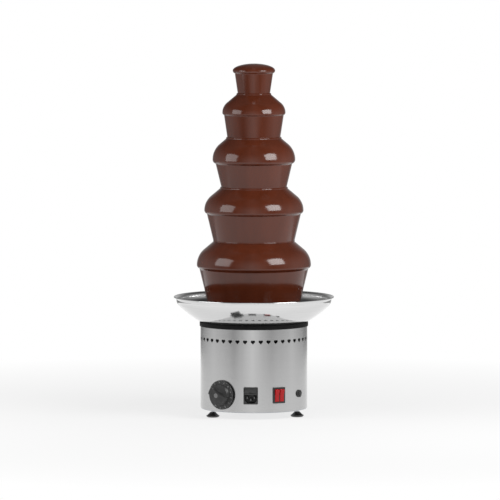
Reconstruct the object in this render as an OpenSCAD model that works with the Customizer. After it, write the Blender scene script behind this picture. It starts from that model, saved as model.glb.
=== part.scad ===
// Chocolate fountain: a heated base with a bowl, and a tower with a crown and four tiers.
// The origin is on the table under the drum's axis, +Z is up and the controls face -Y.
// Angles round the drum count from -Y towards +X.

/* [Drum] */
// Outer diameter of the drum housing
drum_d = 208; // [196:1:230]
// Height of the drum housing
drum_h = 161; // [150:1:190]
// Sheet thickness of the drum housing
drum_wall = 1.2; // [0.8:0.1:2]
// Width of the flange turned in at the drum's top edge
top_flange = 9; // [6:0.5:12]
// Width of the flange turned in at the drum's bottom edge
bottom_flange = 3.2; // [2.6:0.1:3.6]
// Number of heart vents round the drum
vent_count = 43; // [24:1:46]
// Side of the square that each heart vent is drawn on
vent_size = 5; // [3:0.1:6]
// Distance of the vents' centres below the drum's top edge
vent_drop = 26; // [12:1:40]
// Thickness of the base plate
base_plate_t = 1.8; // [1:0.1:2.5]
// Number of slots in the base plate
base_slot_count = 12; // [6:1:18]
// Width of a slot in the base plate
base_slot_w = 4; // [2:0.5:6]

/* [Feet] */
// Height of the drum's bottom edge above the table
foot_h = 15; // [14:0.5:20]
// Diameter of a foot's pad
pad_d = 26; // [20:0.5:30]
// Height of a foot's pad
pad_h = 10.5; // [8:0.5:11]
// Diameter of the flat face under a pad
pad_flat_d = 18; // [14:0.5:20]
// Diameter of a pad's neck
pad_neck_d = 10; // [9:0.5:14]
// Diameter of a foot's stud
stud_d = 6; // [5:0.5:7]
// Length of a foot's stud
stud_l = 24; // [18:1:30]
// Distance of the feet's centres inside the drum's wall
foot_inset = 9.5; // [9:0.5:14]
// Turn of the right-hand foot from the front
foot_turn = 66; // [60:0.5:80]

/* [Trim ring] */
// Height of the ring between the drum and the bowl
ring_h = 6.5; // [4:0.5:10]
// How far the ring stands out past the drum
ring_proud = 1.7; // [1:0.1:3]
// Depth of the ring's skirt over the drum's edge
ring_skirt = 1.6; // [1:0.1:4]
// Width of the ring inside the drum's wall
ring_w = 9; // [6:0.5:11]

/* [Bowl] */
// Diameter over the bowl's lip
bowl_d = 312; // [290:1:340]
// Height of the bowl, from its underside to its lip
bowl_h = 49; // [42:0.5:60]
// Sheet thickness of the bowl
bowl_wall = 1.2; // [0.8:0.1:2]
// Radius of the bowl's wall, in section
bowl_round = 223; // [160:1:280]
// Radius of the shoulder where the wall turns upright, in section
bowl_shoulder = 13; // [8:0.5:18]
// Width of the bowl's flared lip
bowl_lip_w = 5.2; // [4:0.1:8]
// Rise of the bowl's flared lip
bowl_lip_rise = 7; // [5:0.5:9]
// Radius of the rolled edge of the lip
bowl_bead_r = 1.1; // [0.9:0.1:1.5]
// Depth of the chocolate in the bowl
pool_depth = 19; // [12:0.5:24]

/* [Tower] */
// Outer diameter of the tower tube
tube_d = 52; // [46:0.5:54]
// Wall of the tower tube
tube_wall = 1.5; // [1:0.1:2]
// Diameter of the ring that the tower stands on
tower_foot_d = 84; // [76:1:96]
// Thickness of the ring that the tower stands on
tower_foot_t = 2.5; // [2:0.1:4]
// Width of the intake arches at the foot of the tube
arch_w = 20; // [12:0.5:24]
// Height of the straight sides of an intake arch
arch_side_h = 9; // [4:0.5:14]
// Diameter of the pegs that locate the tower
peg_d = 6; // [4:0.5:8]
// Height of the pegs that locate the tower
peg_h = 9; // [5:0.5:14]
// Diameter of the pins that carry the tiers
tier_pin_d = 3; // [2:0.1:4]
// Sheet thickness of the tier dishes and the crown cup
dish_wall = 1.2; // [0.8:0.1:1.6]
// Height of the hub of each tier dish
hub_h = 24; // [14:1:28]
// Height of the collar of the crown cup
crown_collar_h = 16; // [10:1:20]
// Depth of the crown cup, from its lip line to the top of the tube
crown_depth = 10; // [8:0.5:13]

/* [Chocolate tiers] */
// Slope of the tiers' domes, in degrees
tier_slope = 40; // [36:0.5:44]
// Diameter over the chocolate on the crown
crown_d = 82.4; // [76:0.2:90]
// Diameter over the chocolate on tier two
tier_two_d = 122.8; // [116:0.2:130]
// Diameter over the chocolate on tier three
tier_three_d = 160.8; // [152:0.2:168]
// Diameter over the chocolate on tier four
tier_four_d = 193; // [184:0.2:200]
// Diameter over the chocolate on tier five
tier_five_d = 222.2; // [212:0.2:230]
// Height of tier five's widest line above the bowl's floor
tier_five_rise = 109.2; // [102:0.2:126]
// Height of tier four's widest line above tier five's
tier_four_rise = 106.6; // [96:0.2:120]
// Height of tier three's widest line above tier four's
tier_three_rise = 98.6; // [92:0.2:116]
// Height of tier two's widest line above tier three's
tier_two_rise = 91.2; // [86:0.2:110]
// Height of the crown's widest line above tier two's
crown_rise = 83.2; // [76:0.2:98]
// Height of the chocolate dome on the crown
crown_dome_h = 13; // [8:0.5:18]
// Radius of the round edge of tier two's dome
round_two = 25.5; // [18:0.5:28]
// Radius of the round edge of tier three's dome
round_three = 40; // [30:0.5:44]
// Radius of the round edge of tier four's dome
round_four = 36; // [28:0.5:44]
// Radius of the round edge of tier five's dome
round_five = 40; // [30:0.5:46]
// Radius under the lip of the crown
crown_lip = 4.2; // [3:0.1:5]
// Radius under the lip of tier two
small_lip = 2.5; // [2:0.1:3.5]
// Radius under the lip of tiers three to five
large_lip = 6.6; // [5:0.1:8]
// Inward lean of the curtains of the crown and tier two, per unit of fall
small_lean = 0.15; // [0.1:0.01:0.18]
// Inward lean of the curtains of tiers three to five, per unit of fall
large_lean = 0.24; // [0.16:0.01:0.27]
// Thickness of chocolate on the dishes
film_t = 3; // [2:0.1:4]
// Thickness of the falling curtains
curtain_t = 2.5; // [1.5:0.1:3]

/* [Auger and drive] */
// Diameter of the auger's core
auger_core_d = 20; // [17:0.5:24]
// Pitch of the auger's flight
flight_pitch = 44; // [30:1:60]
// Thickness of the auger's flight
flight_t = 2; // [1.2:0.1:3]
// Running gap between the flight and the tube
flight_gap = 0.9; // [0.6:0.1:2]
// Diameter of the drive shaft
shaft_d = 12; // [9:0.5:13]
// Length of the drive shaft above the bowl's floor
shaft_rise = 38; // [28:1:50]
// Diameter of the cross pin that turns the auger
drive_pin_d = 3; // [2:0.1:4]
// Diameter of the bush through the bowl's floor
bush_d = 24; // [20:0.5:28]
// Diameter of the bush's flange
bush_flange_d = 38; // [34:0.5:40]
// Thickness of the bush's flange
bush_flange_t = 3.3; // [2:0.1:4]
// Height of the shaft seal on the bush
seal_h = 4; // [2.5:0.1:5]
// Length of the bush below the bowl
bush_tail = 12; // [10:0.5:14]
// Diameter of the gearbox
gearbox_d = 76; // [66:1:84]
// Height of the gearbox
gearbox_h = 40; // [30:1:46]
// Diameter of the motor
motor_d = 66; // [56:1:76]
// Height of the motor
motor_h = 70; // [50:1:74]
// Diameter of the motor plate
motor_plate_d = 140; // [130:1:150]
// Thickness of the motor plate
motor_plate_t = 3; // [2:0.1:4]
// Distance of the motor plate's underside below the bowl
motor_plate_drop = 24.5; // [24:0.5:30]

/* [Heater and tie rods] */
// Diameter of the heating ring
heater_d = 184; // [170:1:186]
// Width of the heating ring
heater_w = 28; // [16:1:29]
// Thickness of the heating ring
heater_t = 5; // [3:0.1:5.5]
// Thickness of the plate that clamps the heating ring
clamp_t = 2; // [1.5:0.1:2.5]
// Diameter of the circle that the tie rods stand on
tie_circle_d = 112; // [106:1:114]
// Diameter of the tie rods
tie_d = 6; // [5:0.5:6.5]
// Width across the flats of the nuts
nut_flats = 10; // [9:0.5:11]
// Thickness of the nuts
nut_h = 4.5; // [3:0.5:5]

/* [Controls] */
// Height of the row of controls above the drum's bottom edge
control_rise = 32; // [31:0.5:60]
// Angle of the thermostat knob
knob_angle = -33; // [-40:0.5:-28]
// Angle of the switch
switch_angle = 31; // [27:0.5:36]
// Angle of the overload button
reset_angle = 60; // [54:0.5:70]
// Diameter of the knob's skirt
knob_d = 57; // [46:0.5:60]
// Thickness of the knob's skirt
knob_skirt_t = 3; // [2:0.1:4]
// Diameter of the knob's body
knob_body_d = 42; // [36:0.5:44]
// Width of the knob's grip
grip_w = 13; // [10:0.5:16]
// Height of the knob's grip above its skirt
grip_h = 16; // [10:0.5:20]
// Turn of the knob's grip from level
grip_turn = -28; // [-60:1:0]
// Diameter of the disc in the middle of the grip
knob_cap_d = 9; // [6:0.5:10]
// Diameter of the thermostat's spindle
spindle_d = 6; // [4:0.5:7]
// Width of the thermostat's body
thermostat_w = 38; // [30:1:42]
// Depth of the thermostat's body
thermostat_l = 30; // [20:1:32]
// Width of the switch's frame
switch_w = 25.5; // [25:0.5:28]
// Height of the switch's frame
switch_h = 31; // [30:0.5:34]
// Width of a rocker
rocker_w = 8.6; // [7:0.1:8.6]
// Radius that a rocker's ends turn on
rocker_r = 12.2; // [10:0.1:12.2]
// Tilt of a rocker to either side, in degrees
rocker_tilt = 9; // [6:0.5:11]
// Width of the inlet's frame
inlet_w = 28; // [28:0.5:31]
// Height of the inlet's frame
inlet_h = 33; // [33:0.5:36]
// Depth of the inlet's socket
socket_l = 16; // [14:0.5:18]
// Diameter of the overload button's collar
reset_d = 14.4; // [13.5:0.1:18]
// Diameter of the overload button
reset_button_d = 8.8; // [6:0.1:9]
// Travel of the overload button
reset_travel = 2.5; // [1.5:0.1:3]

/* [Hidden] */
$fn = 96;

// Clearances
seat = 0.1;         // between still pieces of one body
slip = 0.2;         // between pieces that are slid together by hand
running = 0.06;     // round turning and sliding shafts
fall_gap = 0.3;     // between a curtain and what it falls on
through = 1;        // how far a cutting shape runs past the face it cuts

// Heights and radii of the base
drum_r = drum_d / 2;
drum_in_r = drum_r - drum_wall;
drum_top = foot_h + drum_h;
bowl_z = drum_top + ring_h;
floor_z = bowl_z + bowl_wall;
pool_z = floor_z + pool_depth;
plate_z = foot_h - base_plate_t;
control_z = foot_h + control_rise;
vent_z = drum_top - vent_drop;
vent_turn = 2.3;
foot_r = drum_r - foot_inset;
foot_angles = [foot_turn - 120, foot_turn, foot_turn + 120];
tie_angles = [0, 120, 240];
tie_r = tie_circle_d / 2;
base_slot_from = 24;
base_slot_margin = 10;
base_slot_to = tie_r - base_slot_margin;
base_slot_l = base_slot_to - base_slot_from;

// The bowl in section: an arc from the ring's edge runs into a shoulder that turns upright
bowl_r = bowl_d / 2;
rim_r = bowl_r - bowl_lip_w;
lip_root_z = bowl_z + bowl_h - bowl_lip_rise;
wall_foot = [drum_r, bowl_z];
shoulder_centre = [rim_r - bowl_shoulder, lip_root_z];
wall_centre = circles_meet(wall_foot, bowl_round, shoulder_centre, bowl_round - bowl_shoulder);
wall_from = direction_of(wall_foot - wall_centre);
wall_to = direction_of(shoulder_centre - wall_centre);
wall_in_r = bowl_round - bowl_wall;
floor_edge_r = wall_centre.x + sqrt(pow(wall_in_r, 2) - pow(wall_centre.y - floor_z, 2));

// The lip bends outwards from the top of the shoulder, along the middle of the sheet
lip_across = bowl_lip_w - bowl_bead_r + bowl_wall / 2;
lip_up = bowl_lip_rise - bowl_bead_r;
lip_bend = (pow(lip_across, 2) + pow(lip_up, 2)) / (2 * lip_across);
lip_turn = 2 * atan2(lip_across, lip_up);
lip_centre = [rim_r - bowl_wall / 2 + lip_bend, lip_root_z];
lip_tip = lip_centre + lip_bend * [-cos(lip_turn), sin(lip_turn)];

// Tower
tube_r = tube_d / 2;
tube_in_r = tube_r - tube_wall;
hub_in_r = tube_r + slip;
hub_out_r = hub_in_r + dish_wall;
tower_foot_r = tower_foot_d / 2;
peg_r = (tube_r + tower_foot_r) / 2;

// Levels count down from the crown, which is level 0, to tier five
edge_r = [crown_d, tier_two_d, tier_three_d, tier_four_d, tier_five_d] / 2;
five_z = floor_z + tier_five_rise;
four_z = five_z + tier_four_rise;
three_z = four_z + tier_three_rise;
two_z = three_z + tier_two_rise;
edge_z = [two_z + crown_rise, two_z, three_z, four_z, five_z];
edge_round = [0, round_two, round_three, round_four, round_five];
lip_round = [crown_lip, small_lip, large_lip, large_lip, large_lip];
lean = [small_lean, small_lean, large_lean, large_lean, large_lean];
crown = 0;
last_tier = 4;
dome_turn = 90 - tier_slope;
lip_sweep = 75;
run_in = 2;
tube_top = edge_z[crown] - crown_depth;
cup_rim = [edge_r[crown] - film_t, edge_z[crown] - dish_wall];
cup_root = [hub_in_r, tube_top + dish_wall];

// Auger and drive
core_r = auger_core_d / 2;
flight_r = tube_in_r - flight_gap;
shaft_r = shaft_d / 2;
bush_r = bush_d / 2;
bush_top = floor_z + bush_flange_t;
auger_bottom = bush_top + seal_h + 2.5;
auger_top = tube_top - 8;
flight_bottom = auger_bottom + 3;
flight_h = auger_top - 4 - flight_bottom;
steps_per_turn = 24;
flight_steps = ceil(flight_h / flight_pitch * steps_per_turn);
shaft_top = floor_z + shaft_rise;
drive_pin_rise = 10;
drive_pin_z = auger_bottom + drive_pin_rise;
motor_plate_z = bowl_z - motor_plate_drop;
shaft_hold = 12;
screw_circle_r = gearbox_d / 2 - 8;
screw_d = 5;
screw_head_d = 9;
screw_head_h = 3.5;
screw_l = 12;

// Heater
heater_z = bowl_z - heater_t;
clamp_z = heater_z - clamp_t;
heater_in_r = heater_d / 2 - heater_w;
clamp_in_r = tie_r - nut_flats;
bulb_d = 6;
bulb_l = 50;
bulb_gap = 1.5;
bulb_r = sqrt(pow(clamp_in_r - bulb_gap, 2) - pow(bulb_l / 2, 2)) - bulb_d / 2;

// Controls, measured outwards from the drum's wall
knob_gap = 1.6;
grip_z = knob_gap + knob_skirt_t;
cap_t = 1.5;
spindle_depth = 10;
spindle_end = grip_z + grip_h - 7;
thermostat_front = -4;
frame_t = 2.2;
frame_corner = 1.5;
frame_lap = 1.5;
rocker_pitch = rocker_w + 1.8;
rocker_pivot = 0.6;
rocker_end_h = 4;
rocker_mid_h = 2.6;
rocker_drop = 6;
trunnion_d = 3;
trunnion_l = 0.5;
rocker_side = 0.2;
rocker_end_gap = 0.3;
switch_depth = 22;
inlet_depth = 26;
socket_w = 24;
socket_h = 16.4;
socket_y = -6.2;
socket_bevel = 5;
blade = [2, 4];
blade_spread = 7;
blade_y = -4;
earth_y = -8;
blade_tail = 4;
blade_tip = -2;
drawer_w = 23.4;
drawer_h = 8.8;
drawer_y = 9.3;
drawer_l = 20;
drawer_lip = 0.4;
fuse_d = 5.2;
fuse_l = 20;
fuse_z = -14;
collar_h = 2.6;
reset_barrel_d = 11.6;
reset_depth = 24;
button_top = 5;
button_root = -5;

// Shared shapes and placing

// Points along a round stretch of a section, from one angle to another
function arc(centre, radius, from, to, steps = 10) =
    [for (i = [0:steps])
        let (a = from + (to - from) * i / steps)
        centre + radius * [cos(a), sin(a)]];

// Where a circle round one point meets a circle round another, on the left of the line between them
function circles_meet(a, radius_a, b, radius_b) =
    let (line = b - a, gap = norm(line), side = [-line.y, line.x] / gap,
         along = (pow(radius_a, 2) - pow(radius_b, 2) + pow(gap, 2)) / (2 * gap))
    a + line / gap * along + side * sqrt(pow(radius_a, 2) - pow(along, 2));

function direction_of(v) = atan2(v.y, v.x);

// Places a shape on the drum's wall: x to the right, y up, z outwards from the wall
module on_drum(angle) {
    rotate([0, 0, angle]) translate([0, -drum_r, control_z]) rotate([90, 0, 0]) children();
}

// The space inside the drum's outer wall, seen from a place on it
module drum_space() {
    translate([0, 0, -drum_r]) rotate([90, 0, 0])
        cylinder(r = drum_r + seat, h = drum_r, center = true);
}

// Repeats a shape at each angle, at a distance from the axis
module round_axis(angles, radius) {
    for (a = angles) rotate([0, 0, a]) translate([0, -radius, 0]) children();
}

// Flat plate with round corners, centred, from z = 0 up
module round_plate(w, h, t, corner) {
    linear_extrude(t) {
        square([w - 2 * corner, h], center = true);
        square([w, h - 2 * corner], center = true);
        for (x = [-1, 1], y = [-1, 1])
            translate([x * (w / 2 - corner), y * (h / 2 - corner)]) circle(corner);
    }
}

// Frame that lies on the drum's wall, with its back curved to fit
module wall_frame(w, h) {
    difference() {
        translate([0, 0, -frame_t]) round_plate(w, h, 2 * frame_t, frame_corner);
        drum_space();
    }
}

module hex_nut(bore_d) {
    difference() {
        cylinder(d = nut_flats / cos(30), h = nut_h, $fn = 6);
        translate([0, 0, -through]) cylinder(d = bore_d, h = nut_h + 2 * through);
    }
}

module ring(outer_r, inner_r, h) {
    difference() {
        cylinder(r = outer_r, h = h);
        translate([0, 0, -through]) cylinder(r = inner_r, h = h + 2 * through);
    }
}

// Base

module heart(size) {
    rotate(45) square(size, center = true);
    for (side = [-1, 1])
        translate([side * size * sqrt(2) / 4, size * sqrt(2) / 4]) circle(size / 2, $fn = 32);
}

module drum_openings() {
    depth = 2 * frame_t + drum_wall;
    for (i = [0:vent_count - 1])
        rotate([0, 0, vent_turn + i * 360 / vent_count])
            translate([0, -drum_in_r + through, vent_z]) rotate([90, 0, 0])
                linear_extrude(drum_wall + 2 * through) heart(vent_size);
    on_drum(knob_angle) translate([0, 0, -depth])
        cylinder(d = spindle_d + 4 + 2 * slip, h = 2 * depth);
    on_drum(0) cube([inlet_w - 2 * frame_lap + 2 * slip, inlet_h - 2 * frame_lap + 2 * slip, 2 * depth],
                    center = true);
    on_drum(switch_angle) cube([switch_w - 2 * frame_lap + 2 * slip,
                                switch_h - 2 * frame_lap + 2 * slip, 2 * depth], center = true);
    on_drum(reset_angle) translate([0, 0, -depth])
        cylinder(d = reset_barrel_d + 2 * slip, h = 2 * depth);
}

module housing_drum() {
    color("silver") difference() {
        translate([0, 0, foot_h]) rotate_extrude() polygon([
            [drum_r - bottom_flange, 0], [drum_r, 0], [drum_r, drum_h], [drum_r - top_flange, drum_h],
            [drum_r - top_flange, drum_h - drum_wall], [drum_in_r, drum_h - drum_wall],
            [drum_in_r, drum_wall], [drum_r - bottom_flange, drum_wall]
        ]);
        drum_openings();
    }
}

module base_plate() {
    slot_span = 360 / base_slot_count;
    color("silver") translate([0, 0, plate_z]) difference() {
        cylinder(r = drum_r - bottom_flange / 2, h = base_plate_t);
        translate([0, 0, -through]) {
            round_axis(foot_angles, foot_r) cylinder(d = stud_d + 2 * slip, h = base_plate_t + 2 * through);
            round_axis(tie_angles, tie_r) cylinder(d = tie_d + 2 * slip, h = base_plate_t + 2 * through);
            for (i = [0:base_slot_count - 1])
                rotate([0, 0, (i + 0.5) * slot_span]) translate([base_slot_from, -base_slot_w / 2, 0])
                    cube([base_slot_l, base_slot_w, base_plate_t + 2 * through]);
        }
    }
}

module tie_rods() {
    low = plate_z - nut_h;
    color("gainsboro") translate([0, 0, low]) round_axis(tie_angles, tie_r)
        cylinder(d = tie_d, h = bowl_z - low);
}

// Nuts under the base plate, on both sides of the motor plate and under the heater clamp
module tie_nuts() {
    levels = [plate_z - nut_h, motor_plate_z - nut_h, motor_plate_z + motor_plate_t, clamp_z - nut_h];
    color("gainsboro") for (z = levels) translate([0, 0, z])
        round_axis(tie_angles, tie_r) hex_nut(tie_d + 2 * seat);
}

module foot_nuts() {
    color("gainsboro") translate([0, 0, foot_h]) round_axis(foot_angles, foot_r)
        hex_nut(stud_d + 2 * running);
}

module trim_ring() {
    chamfer = 1;
    out_r = drum_r + ring_proud;
    color("black") rotate_extrude() polygon([
        [drum_r - ring_w, drum_top], [drum_r + slip, drum_top], [drum_r + slip, drum_top - ring_skirt],
        [out_r, drum_top - ring_skirt], [out_r, bowl_z - chamfer], [out_r - chamfer, bowl_z],
        [drum_r - ring_w, bowl_z]
    ]);
}

// Bowl

// Bent sheet between two angles, in section, with its outer face at a radius
module bent_sheet(centre, outer_r, from, to) {
    reach = 2 * outer_r;
    translate(centre) intersection() {
        difference() {
            circle(outer_r);
            circle(outer_r - bowl_wall);
        }
        polygon([[0, 0], reach * [cos(from), sin(from)], reach * [cos(to), sin(to)]]);
    }
}

module bowl() {
    hole_r = bush_r + seat;
    color("silver") rotate_extrude($fn = 144) {
        polygon([[hole_r, bowl_z], wall_foot, [floor_edge_r, floor_z], [hole_r, floor_z]]);
        bent_sheet(wall_centre, bowl_round, wall_from, wall_to);
        bent_sheet(shoulder_centre, bowl_shoulder, wall_to, 0);
        bent_sheet(lip_centre, lip_bend + bowl_wall / 2, 180 - lip_turn, 180);
        translate(lip_tip) circle(bowl_bead_r, $fn = 32);
    }
}

module locating_pegs() {
    color("gainsboro") translate([0, 0, floor_z]) round_axis(tie_angles, peg_r)
        cylinder(d = peg_d, h = peg_h, $fn = 32);
}

module chocolate_pool() {
    color("saddlebrown") rotate_extrude($fn = 144) intersection() {
        translate(wall_centre) circle(wall_in_r - seat);
        translate([tower_foot_r + fall_gap, floor_z + seat])
            square([bowl_r, pool_depth - seat]);
    }
}

// Shaft bearing, heater and motor under the bowl

module shaft_bush() {
    color("goldenrod") difference() {
        union() {
            translate([0, 0, bowl_z - bush_tail]) cylinder(r = bush_r, h = bush_tail + bowl_wall + through);
            translate([0, 0, floor_z]) cylinder(d = bush_flange_d, h = bush_flange_t);
        }
        translate([0, 0, bowl_z - bush_tail - through])
            cylinder(r = shaft_r + running, h = bush_tail + bowl_wall + bush_flange_t + 2 * through);
    }
}

module bush_nut() {
    land = 5;
    flats = bush_d + 2 * land;
    color("gainsboro") translate([0, 0, bowl_z - nut_h]) difference() {
        cylinder(d = flats / cos(30), h = nut_h, $fn = 6);
        translate([0, 0, -through]) cylinder(r = bush_r + seat, h = nut_h + 2 * through);
    }
}

// Lip seal: a ring whose inner edge narrows to a lip at the shaft
module shaft_seal() {
    lip_r = shaft_r + running;
    color("dimgray") translate([0, 0, bush_top]) rotate_extrude() polygon([
        [lip_r + 2, 0], [bush_r, 0], [bush_r, seal_h - 1], [bush_r - 1, seal_h],
        [lip_r, seal_h], [lip_r, seal_h - 1]
    ]);
}

module heater_ring() {
    color("dimgray") translate([0, 0, heater_z]) ring(heater_d / 2, heater_in_r, heater_t);
}

module heater_clamp() {
    rim = 4;
    color("gainsboro") translate([0, 0, clamp_z]) difference() {
        ring(heater_d / 2 - rim, clamp_in_r, clamp_t);
        translate([0, 0, -through]) round_axis(tie_angles, tie_r)
            cylinder(d = tie_d + 2 * slip, h = clamp_t + 2 * through);
    }
}

module motor_plate() {
    deep = motor_plate_t + 2 * through;
    color("gainsboro") translate([0, 0, motor_plate_z]) difference() {
        cylinder(d = motor_plate_d, h = motor_plate_t);
        translate([0, 0, -through]) {
            cylinder(r = shaft_r + 3, h = deep);
            round_axis(tie_angles, tie_r) cylinder(d = tie_d + 2 * slip, h = deep);
            round_axis(screw_angles(), screw_circle_r) cylinder(d = screw_d + 2 * slip, h = deep);
        }
    }
}

function screw_angles() = [45, 135, 225, 315];

module gearbox() {
    flange_h = 8;
    waist = 3;
    color("darkgray") translate([0, 0, motor_plate_z - gearbox_h]) difference() {
        union() {
            cylinder(d = gearbox_d - 2 * waist, h = gearbox_h);
            translate([0, 0, gearbox_h - flange_h]) cylinder(d = gearbox_d, h = flange_h);
            cylinder(d = gearbox_d, h = flange_h);
        }
        translate([0, 0, gearbox_h - shaft_hold]) {
            cylinder(r = shaft_r + running, h = shaft_hold + through);
            round_axis(screw_angles(), screw_circle_r) cylinder(d = screw_d + 2 * seat, h = shaft_hold + through);
        }
    }
}

module motor_can() {
    bell_h = 9;
    bell_in = 4;
    groove = 1.5;
    groove_h = 3;
    top = motor_plate_z - gearbox_h;
    bottom = top - motor_h;
    radius = motor_d / 2;
    color("dimgray") rotate_extrude() polygon([
        [0, bottom], [radius - bell_in - 2, bottom], [radius - bell_in, bottom + 2],
        [radius - bell_in, bottom + bell_h], [radius, bottom + bell_h], [radius, top - bell_h - groove_h],
        [radius - groove, top - bell_h - groove_h], [radius - groove, top - bell_h],
        [radius, top - bell_h], [radius, top], [0, top]
    ]);
}

module motor_screws() {
    head_z = motor_plate_z + motor_plate_t;
    color("gainsboro") translate([0, 0, head_z]) round_axis(screw_angles(), screw_circle_r) {
        cylinder(d = screw_head_d, h = screw_head_h, $fn = 32);
        translate([0, 0, -screw_l]) cylinder(d = screw_d, h = screw_l + through, $fn = 32);
    }
}

module sensor_bulb() {
    color("goldenrod") translate([0, bulb_r, bowl_z - bulb_d / 2 - seat]) rotate([0, 90, 0])
        cylinder(d = bulb_d, h = bulb_l, center = true, $fn = 32);
}

// Drive shaft and auger

module drive_shaft() {
    bottom = motor_plate_z - shaft_hold + seat;
    color("gainsboro") difference() {
        translate([0, 0, bottom]) cylinder(r = shaft_r, h = shaft_top - bottom);
        translate([0, 0, drive_pin_z]) rotate([0, 90, 0])
            cylinder(d = drive_pin_d + 2 * seat, h = 2 * shaft_d, center = true, $fn = 32);
    }
}

module drive_pin() {
    color("gainsboro") translate([0, 0, drive_pin_z]) rotate([0, 90, 0])
        cylinder(d = drive_pin_d, h = auger_core_d - 2 * seat, center = true, $fn = 32);
}

// The auger's core is slotted at its foot, where it sits on the cross pin of the shaft
module auger_shaft() {
    slot_h = drive_pin_z + drive_pin_d / 2 + seat - auger_bottom;
    slot_w = drive_pin_d + 2 * seat;
    nose = 4;
    color("silver") difference() {
        translate([0, 0, auger_bottom]) rotate_extrude() polygon([
            [0, 0], [core_r, 0], [core_r, auger_top - auger_bottom - nose],
            [core_r - nose, auger_top - auger_bottom], [0, auger_top - auger_bottom]
        ]);
        translate([0, 0, auger_bottom - through])
            cylinder(r = shaft_r + seat, h = shaft_top + seat - auger_bottom + through);
        translate([-auger_core_d, -slot_w / 2, auger_bottom - through])
            cube([2 * auger_core_d, slot_w, slot_h + through]);
    }
}

// Four corners of the flight's section at each step of the helix
function flight_corners(step) =
    let (a = 360 * step / steps_per_turn, z = flight_bottom + flight_h * step / flight_steps, r = core_r + seat)
    [for (c = [[r, 0], [flight_r, 0], [flight_r, flight_t], [r, flight_t]]) [c.x * cos(a), c.x * sin(a), z + c.y]];

module auger_flight() {
    points = [for (i = [0:flight_steps]) each flight_corners(i)];
    last = 4 * flight_steps;
    sides = [for (i = [0:flight_steps - 1], c = [0:3])
        let (a = 4 * i + c, b = 4 * i + (c + 1) % 4)
        each [[a, a + 4, b + 4], [a, b + 4, b]]];
    ends = [[0, 1, 2], [0, 2, 3], [last, last + 2, last + 1], [last, last + 3, last + 2]];
    color("silver") polyhedron(points, concat(sides, ends));
}

// Tower

function dish_hub_z(level) = dome_z(level, hub_in_r, film_t) - hub_h;
function tier_levels() = [1:last_tier];

module tower_tube() {
    arch_top = tower_foot_t + arch_side_h;
    color("silver") translate([0, 0, floor_z]) difference() {
        cylinder(r = tube_r, h = tube_top - floor_z);
        translate([0, 0, -through]) cylinder(r = tube_in_r, h = tube_top - floor_z + 2 * through);
        for (turn = [0, 90]) rotate([0, 0, turn]) {
            translate([-tube_d, -arch_w / 2, tower_foot_t]) cube([2 * tube_d, arch_w, arch_side_h]);
            translate([0, 0, arch_top]) rotate([0, 90, 0]) cylinder(d = arch_w, h = 2 * tube_d, center = true);
        }
        for (level = tier_levels()) translate([0, 0, dish_hub_z(level) - floor_z])
            tier_pin_set(tier_pin_d + 2 * seat, tube_in_r - through, hub_out_r);
    }
}

// Ring welded round the foot of the tube, with a hole for each locating peg
module tower_foot() {
    color("silver") translate([0, 0, floor_z]) difference() {
        ring(tower_foot_r, tube_r + seat, tower_foot_t);
        translate([0, 0, -through]) round_axis(tie_angles, peg_r)
            cylinder(d = peg_d + 2 * slip, h = tower_foot_t + 2 * through);
    }
}

// Three pins through the tube's wall, with their tops level with z = 0
module tier_pin_set(d, from_r, to_r) {
    translate([0, 0, -tier_pin_d / 2 - seat]) for (a = tie_angles) rotate([90, 0, a])
        translate([0, 0, from_r]) cylinder(d = d, h = to_r - from_r, $fn = 32);
}

module tier_pins() {
    color("gainsboro") for (level = tier_levels()) translate([0, 0, dish_hub_z(level)])
        tier_pin_set(tier_pin_d, tube_in_r + seat, hub_out_r);
}

// Centre of the round edge of a tier's dome, in section
function dome_centre(level) = [edge_r[level] - edge_round[level], edge_z[level]];

// Point where the dome's cone runs into its round edge, at a depth below the chocolate's surface
function dome_turn_point(level, inset) =
    dome_centre(level) + (edge_round[level] - inset) * [cos(dome_turn), sin(dome_turn)];

// Height of the dome's cone at a radius
function dome_z(level, radius, inset = 0) =
    let (turn = dome_turn_point(level, inset))
    turn.y + tan(tier_slope) * (turn.x - radius);

// Spun dish under a tier: a hub on the tube, a cone and a round edge
module tier_dish(level) {
    outer = edge_round[level] - film_t;
    inner = outer - dish_wall;
    color("silver") rotate_extrude() polygon(concat(
        [[hub_in_r, dish_hub_z(level)], [hub_in_r, dome_z(level, hub_in_r, film_t)]],
        arc(dome_centre(level), outer, dome_turn, 0),
        arc(dome_centre(level), inner, 0, dome_turn),
        [[hub_out_r, dome_z(level, hub_out_r, film_t + dish_wall)], [hub_out_r, dish_hub_z(level)]]
    ));
}

// Cup on top of the tube: a collar over the tube, a shoulder on its end and a flared rim
module crown_cup() {
    color("silver") rotate_extrude() polygon([
        [hub_in_r, tube_top - crown_collar_h], [hub_in_r, tube_top], [tube_in_r, tube_top],
        [tube_in_r, cup_root.y], cup_root, cup_rim - [dish_wall, 0], cup_rim, cup_rim - [0, dish_wall],
        [hub_out_r, tube_top], [hub_out_r, tube_top - crown_collar_h]
    ]);
}

// Chocolate on the tower

// Point where the round under a lip ends and its curtain starts
function curtain_top(level) =
    [edge_r[level] - lip_round[level], edge_z[level]] + lip_round[level] * [cos(lip_sweep), -sin(lip_sweep)];

function curtain_r(level, z) = curtain_top(level).x - lean[level] * (curtain_top(level).y - z);

// Height at which a curtain, or a face inset from its outside, meets the level below
function landing_z(level, inset) =
    level == last_tier ? pool_z + fall_gap :
    let (slope = tan(tier_slope), turn = dome_turn_point(level + 1, 0), top = curtain_top(level), k = lean[level])
    (turn.y + fall_gap / cos(tier_slope) + slope * (turn.x - top.x + inset + k * top.y)) / (1 + slope * k);

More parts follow.
